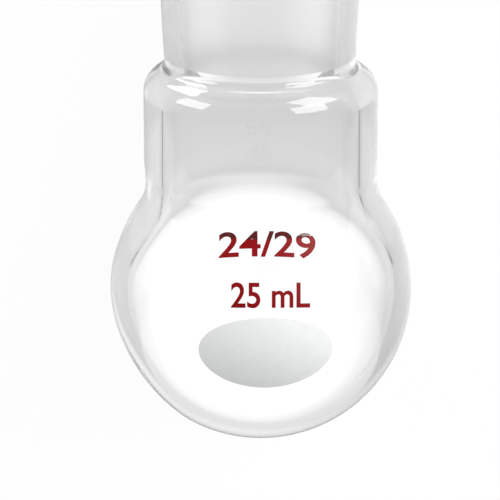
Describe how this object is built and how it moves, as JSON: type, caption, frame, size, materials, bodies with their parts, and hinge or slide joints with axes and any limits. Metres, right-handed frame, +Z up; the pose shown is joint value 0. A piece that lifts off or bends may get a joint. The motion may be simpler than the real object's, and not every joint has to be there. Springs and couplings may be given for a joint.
{
  "type": "round-bottom flask",
  "caption": "Small heavy-wall round-bottom flask with a wide neck, a shoulder and a single ground-glass socket, lying on its side with its writing spot up.",
  "frame": {"origin": "on the table, under the middle of the flask's length, between bulb and mouth", "axes": "+Z up through the writing spot's side of the bulb, +Y along the table from the bulb to the mouth, +X to the right of the print; the flask's own axis dips 5.1 degrees below +Y towards the mouth"},
  "size_m": [0.042, 0.0862, 0.0421],
  "materials": {
    "clear_glass": "clear, polished",
    "white_enamel": "matt"
  },
  "bodies": {
    "root": {"flask": "clear_glass", "writing_spot": "white_enamel"}
  },
  "joints": []
}
